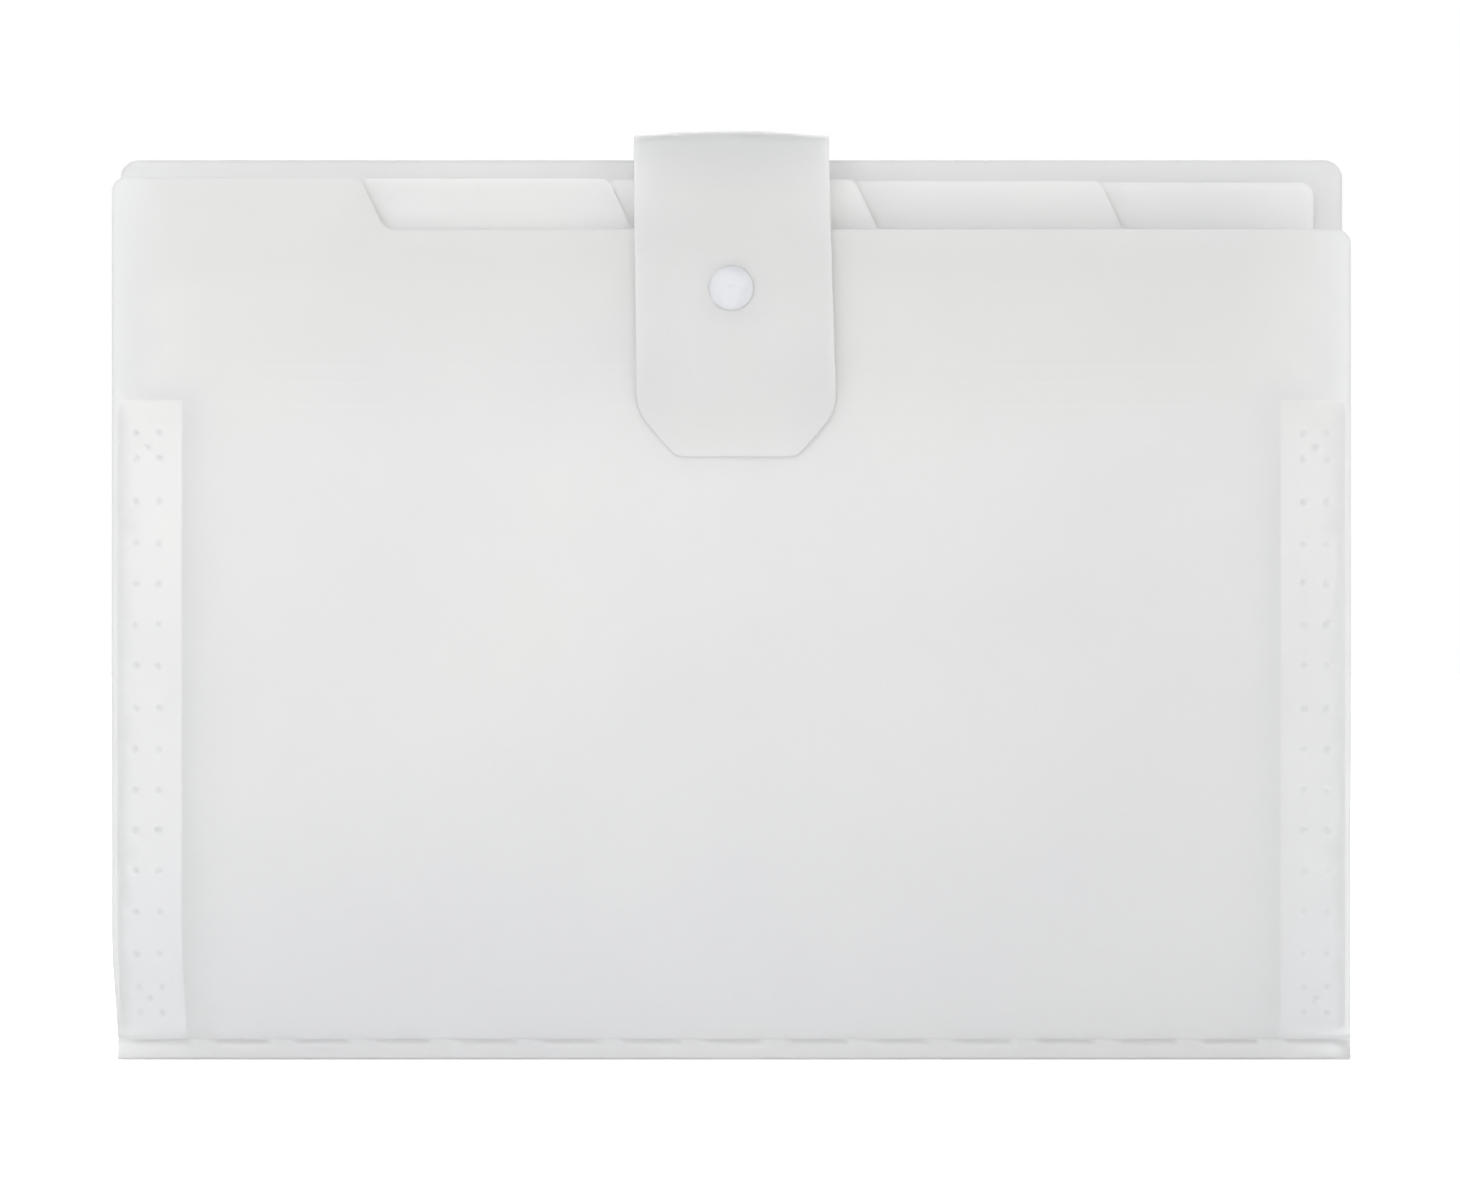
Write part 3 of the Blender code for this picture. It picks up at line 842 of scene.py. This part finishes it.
def shadedFlangeLook(side):
    # the right strips' tones carry painted shade
    look = dict(frosted["flange"])
    for height in ("foot", "body", "head", "tab"):
        look[height] = tuple(gusset["stripSideShade"][side] * c for c in look[height])
    return look


flangeSheets = {side: frostedSheet("frostedFlange" + hand.capitalize(), shadedFlangeLook(side))
                for side, hand in handOf.items()}


def makeFlange(side, atFront):
    inner, outer = gusset["flangeIn"], gusset["flangeOut"]
    low, high = folder["gussetLow"], folder["gussetHigh"]
    small, large = gusset["innerRound"], gusset["outerRound"]
    outline = softCorners([(side * inner, low, small), (side * outer, low, large),
                           (side * outer, high, large), (side * inner, high, small)][::side])
    facing = -1 if atFront else 1

    def placeAt(x, z):
        tuck = footTuck(x, z) if atFront else 0.0
        return (x + tuck, facing * (gusset["flangeY"] - dotDepth(x, z)), z)

    word = "Front" if atFront else "Rear"
    hand = handOf[side]
    piece = cutSheet(f"{hand}{word}Flange", outline, [], dotPoints(dotCentres((side,))), placeAt,
                     gusset["thickness"], flangeSheets[side], gusset["innerStep"], dotMark)
    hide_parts(f"{hand}_{word.lower()}_flange")
    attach(piece, "front_cover" if atFront else "back_cover")


def foldedStrip(name, corners, material):
    # a strip of sheet as high as the gusset, folded along corners that are seen from above
    low, high, rows = folder["gussetLow"], folder["gussetHigh"], gusset["rows"]
    path = []
    for (ax, ay), (bx, by) in zip(corners, corners[1:]):
        parts = max(1, round(math.hypot(bx - ax, by - ay) / gusset["pathStep"]))
        path += [(ax + (bx - ax) * k / parts, ay + (by - ay) * k / parts) for k in range(parts)]
    path.append(corners[-1])
    heights = [low + (high - low) * j / rows for j in range(rows + 1)]
    points = [(x, y, z) for x, y in path for z in heights]
    piece = makePiece(name, points, gridFaces(len(path), rows + 1), material)
    # painted shade at the strip's cut ends
    rimShading = piece.data.attributes.new("rimShade", "FLOAT", "POINT")
    for k, p in enumerate(points):
        rimShading.data[k].value = 1 - ease(0, sheetCut["endBand"], min(p[2] - low, high - p[2]))
    finishSheet(piece, gusset["thickness"])
    return piece


def makePleat(side, number):
    # pleat k spans the pocket between wall k-1 and wall k, its fold pointing out
    near, far = wallY[number - 1], wallY[number]
    flat = gusset["foldFlat"]
    start = near + flat if number > 1 else -gusset["flangeFace"]
    stop = far - flat if number < pockets else gusset["flangeFace"]
    fold = (start + stop) / 2
    inner, outer, nose = gusset["foldIn"], gusset["foldOut"], gusset["foldOut"] - gusset["foldNose"]
    corners = [(side * inner, start), (side * nose, fold - flat * 1.2), (side * outer, fold - flat * 0.4),
               (side * outer, fold + flat * 0.4), (side * nose, fold + flat * 1.2), (side * inner, stop)]
    hand = handOf[side]
    piece = foldedStrip(f"{hand}Pleat{number}", corners, pleatSheet)
    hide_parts(f"{hand}_pleat_{number}")
    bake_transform(piece)


def makeSeam(side, number):
    # the inner fold wraps the divider's edge
    near, far = wallY[number] - gusset["seamGap"], wallY[number] + gusset["seamGap"]
    inner, outer, nose = gusset["seamIn"], gusset["seamOut"], gusset["seamOut"] - gusset["seamNose"]
    turn = gusset["seamRound"]
    corners = [(side * inner, near), (side * nose, near), (side * outer, near + turn),
               (side * outer, far - turn), (side * nose, far), (side * inner, far)]
    hand = handOf[side]
    piece = foldedStrip(f"{hand}Seam{number}", corners, shadedSeamSheet)
    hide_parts(f"{hand}_seam_{number}")
    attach(piece, f"divider_{number}")


for side in handOf:
    makeFlange(side, True)
    makeFlange(side, False)
    for number in range(1, pockets + 1):
        makePleat(side, number)
    for number in range(1, pockets):
        makeSeam(side, number)
print("sides pleated")


spine = {
    "thickness": 0.0008,
    "lipTop": 0.00535,
    "bend": 0.0004,
    "columns": 60,
    "endTuck": 0.0016,        # its left end draws in with the front cover
    "tuckDepth": 0.010,
    "web": 0.00062,           # the thin web that the score line leaves
    "webIn": 0.00015,
    "webOver": 0.0009,        # it reaches this far behind the lip and the panel
    "webRows": 6,
}


def makeSpine():
    front, back, low = folder["frontY"], folder["backY"], spine["thickness"] / 2
    radius, top, columns = spine["bend"], spine["lipTop"], spine["columns"]
    lip = (top + low + radius) / 2
    turns = [k / 8 * math.pi / 2 for k in range(9)]
    profile = [(front, top), (front, lip)]
    profile += [(front + radius - radius * math.cos(t), low + radius - radius * math.sin(t)) for t in turns]
    profile += [(front + radius + (back - front - 2 * radius) * k / 8, low) for k in range(1, 8)]
    profile += [(back - radius + radius * math.sin(t), low + radius - radius * math.cos(t)) for t in turns]
    profile += [(back, lip), (back, top)]
    half = folder["halfWidth"]
    points = []
    for i in range(columns + 1):
        x = half * (2 * i / columns - 1)
        for y, z in profile:
            tuck = spine["endTuck"] * towardsLeft(x) * ease(spine["tuckDepth"], -spine["tuckDepth"], y)
            points.append((x + tuck, y, z))
    piece = makePiece("bottomSpineChannel", points, gridFaces(columns + 1, len(profile)), spineSheet)
    # painted shade at the spine's cut ends
    rimShading = piece.data.attributes.new("rimShade", "FLOAT", "POINT")
    for k, p in enumerate(points):
        rimShading.data[k].value = ease(half - sheetCut["endBand"], half, abs(p[0]))
    finishSheet(piece, spine["thickness"])
    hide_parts("bottom_spine")
    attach(piece, "back_cover")


def makeHinge(name, y, moving):
    # the thin web left by the score line, between the spine's lip and the panel above it
    half, columns, rows = folder["halfWidth"], spine["columns"], spine["webRows"]
    low, high = spine["lipTop"] - spine["webOver"], frontCover["low"] + spine["webOver"]
    points = []
    for i in range(columns + 1):
        x = (half - spine["webIn"]) * (2 * i / columns - 1)
        tuck = spine["endTuck"] * towardsLeft(x) if y < 0 else 0.0
        points += [(x + tuck, y, low + (high - low) * j / rows) for j in range(rows + 1)]
    piece = makePiece(name, points, gridFaces(columns + 1, rows + 1), spineSheet)
    finishSheet(piece, spine["web"])
    if moving:
        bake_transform(piece)
    else:
        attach(piece, "back_cover")


makeSpine()
makeHinge("frontScoreWeb", folder["frontY"], True)
makeHinge("rearScoreWeb", folder["backY"], False)
print("spine folded")


snap = {
    "turns": 64,
    "face": -0.01265,         # where the front cover's face is
    "domeIn": 0.0008,         # the cap's dome, from the dimple in its middle to its rim
    "domeOut": 0.0056,
    "domeTop": 0.00622,
    "domeDrop": 0.00095,
    "edgeRound": 0.00012,
    "edgeAngle": 35,
}


def turnedPiece(name, profile, body, node):
    # profile is (radius, distance in front of the front cover), turned about the snap's axis
    turns = snap["turns"]
    points, faces = [], []
    for radius, forward in profile:
        if radius <= 0:
            points.append((0, snap["face"] - forward, folder["snapZ"]))
            continue
        points += [(radius * math.cos(k * math.tau / turns), snap["face"] - forward,
                    folder["snapZ"] + radius * math.sin(k * math.tau / turns)) for k in range(turns)]
    rows, first = [], 0
    for radius, _ in profile:
        size = 1 if radius <= 0 else turns
        rows.append(list(range(first, first + size)))
        first += size
    for a, b in zip(rows, rows[1:]):
        for k in range(turns):
            n = (k + 1) % turns
            if len(a) == 1:
                faces.append((a[0], b[k], b[n]))
            elif len(b) == 1:
                faces.append((a[k], b[0], a[n]))
            else:
                faces.append((a[k], b[k], b[n], a[n]))
    piece = makePiece(name, points, faces, snapPlastic)
    shell = bmesh.new()
    shell.from_mesh(piece.data)
    bmesh.ops.recalc_face_normals(shell, faces=shell.faces)
    shell.to_mesh(piece.data)
    shell.free()
    for face in piece.data.polygons:
        face.use_smooth = True
    edge = piece.modifiers.new("mouldEdge", "BEVEL")
    edge.width = snap["edgeRound"]
    edge.segments = 3
    edge.limit_method = "ANGLE"
    edge.angle_limit = math.radians(snap["edgeAngle"])
    normals = piece.modifiers.new("faceNormals", "WEIGHTED_NORMAL")
    normals.weight = 60
    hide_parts(node)
    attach(piece, body)


def makeSnap():
    inner, outer, top = snap["domeIn"], snap["domeOut"], snap["domeTop"]
    dome = [(0, 0.00612), (0.0006, 0.00612), (inner, top)]
    for k in range(1, 13):
        t = k / 12
        dome.append((inner + (outer - inner) * t, top - snap["domeDrop"] * t ** 2.6))
    cap = dome + [(0.0059, 0.0050), (0.0060, 0.0047), (0.00592, 0.00445), (0.0015, 0.00445),
                  (0.0015, 0.0036), (0, 0.0036)]
    turnedPiece("snapCapButton", cap, "strap_tongue", "snap_cap")
    socket = [(0, 0.0033), (0.0035, 0.0033), (0.0050, 0.0032), (0.0055, 0.0029), (0.0055, 0.0019),
              (0.0052, 0.0016), (0.0036, 0.0016), (0.0034, 0.0018), (0.0029, 0.0016),
              (0.0025, 0.0021), (0.0025, 0.0029), (0, 0.0029)]
    turnedPiece("snapSocketRing", socket, "strap_tongue", "snap_socket")
    stud = [(0, 0.0026), (0.0014, 0.0026), (0.0019, 0.0025), (0.0022, 0.0022), (0.0021, 0.0017),
            (0.0020, 0.0013), (0.0040, 0.0013), (0.0048, 0.0012), (0.0055, 0.0009), (0.0055, 0.0003),
            (0.0018, 0.0003), (0.0018, 0.0008), (0, 0.0008)]
    turnedPiece("snapStudKnob", stud, "front_cover", "snap_stud")
    rivet = [(0, 0.0005), (0.0013, 0.0005), (0.0015, 0.0003), (0.0015, -0.0011), (0.0050, -0.0011),
             (0.0050, -0.0013), (0.0042, -0.0017), (0.0025, -0.0019), (0, -0.0019)]
    turnedPiece("snapRivetHead", rivet, "front_cover", "snap_rivet")


makeSnap()
print("snap turned")


studio = {
    "skyLight": 0.44,
    "floorGlow": 0.62,
    "floorTone": 0.90,
    "floorRough": 0.9,
    "floorSize": 12,
    "floorPlace": (0, 3, -0.0002),
    "lampSize": 2.3,
    "lampAim": (0, 0, 0.12),
    "lamps": {                # place and power
        "keyLight": ((-0.75, -1.85, 0.85), 10.05),
        "fillLight": ((0.1, -2.25, 0.3), 24.6),
        "rearLight": ((0.3, 1.4, 1.8), 33.0),
        "leftLight": ((-2.1, 0.45, 0.6), 10.0),
        "rightLight": ((2.1, 0.45, 0.6), 10.0),
    },
}


def whiteForCamera(nodes, links):
    # 1 for rays that come from the camera, a mirror or clear plastic
    path = nodes.new("ShaderNodeLightPath")
    first = nodes.new("ShaderNodeMath")
    first.operation = "MAXIMUM"
    links.new(path.outputs["Is Camera Ray"], first.inputs[0])
    links.new(path.outputs["Is Glossy Ray"], first.inputs[1])
    second = nodes.new("ShaderNodeMath")
    second.operation = "MAXIMUM"
    links.new(first.outputs[0], second.inputs[0])
    links.new(path.outputs["Is Transmission Ray"], second.inputs[1])
    return second.outputs[0]


def makeStudio():
    world = bpy.data.worlds.new("studio")
    scene.world = world
    world.use_nodes = True
    nodes, links = world.node_tree.nodes, world.node_tree.links
    sky = nodes["Background"]
    sky.inputs["Color"].default_value = (1, 1, 1, 1)
    level = nodes.new("ShaderNodeMapRange")
    level.inputs["To Min"].default_value = studio["skyLight"]
    level.inputs["To Max"].default_value = 1.0
    links.new(whiteForCamera(nodes, links), level.inputs["Value"])
    links.new(level.outputs["Result"], sky.inputs["Strength"])

    floorMaterial = bpy.data.materials.new("paleFloor")
    floorMaterial.use_nodes = True
    nodes, links = floorMaterial.node_tree.nodes, floorMaterial.node_tree.links
    shader = nodes["Principled BSDF"]
    tone = studio["floorTone"]
    shader.inputs["Base Color"].default_value = (tone, tone, tone, 1)
    shader.inputs["Roughness"].default_value = studio["floorRough"]
    shader.inputs["Emission Color"].default_value = (1, 1, 1, 1)
    glow = nodes.new("ShaderNodeMath")
    glow.operation = "MULTIPLY"
    glow.inputs[1].default_value = studio["floorGlow"]
    links.new(whiteForCamera(nodes, links), glow.inputs[0])
    links.new(glow.outputs[0], shader.inputs["Emission Strength"])
    bpy.ops.mesh.primitive_plane_add(size=studio["floorSize"], location=studio["floorPlace"])
    floor = bpy.context.object
    floor.name = "paleFloor"
    floor.data.materials.append(floorMaterial)

    for name, (place, power) in studio["lamps"].items():
        data = bpy.data.lights.new(name, "AREA")
        data.shape = "DISK"
        data.size = studio["lampSize"]
        data.energy = power
        light = bpy.data.objects.new(name, data)
        scene.collection.objects.link(light)
        light.location = place
        light.rotation_mode = "QUATERNION"
        aim = Vector(studio["lampAim"]) - Vector(place)
        light.rotation_quaternion = aim.to_track_quat("-Z", "Y")


cameraSet = {"x": -0.00035, "z": 0.122, "away": 1.742, "viewWidth": 0.3889, "sensor": 36}


def makeCamera():
    data = bpy.data.cameras.new("photoCamera")
    data.sensor_fit = "HORIZONTAL"
    data.sensor_width = cameraSet["sensor"]
    data.lens = cameraSet["sensor"] * cameraSet["away"] / cameraSet["viewWidth"]
    camera = bpy.data.objects.new("photoCamera", data)
    scene.collection.objects.link(camera)
    camera.location = (cameraSet["x"], snap["face"] - cameraSet["away"], cameraSet["z"])
    camera.rotation_euler = (math.pi / 2, 0, 0)
    scene.camera = camera


makeStudio()
makeCamera()
scene.view_settings.view_transform = "Standard"
scene.cycles.max_bounces = 32                        # light has to find its way through many layers
scene.cycles.transmission_bounces = 32
scene.cycles.diffuse_bounces = 16
print("studio and camera set")
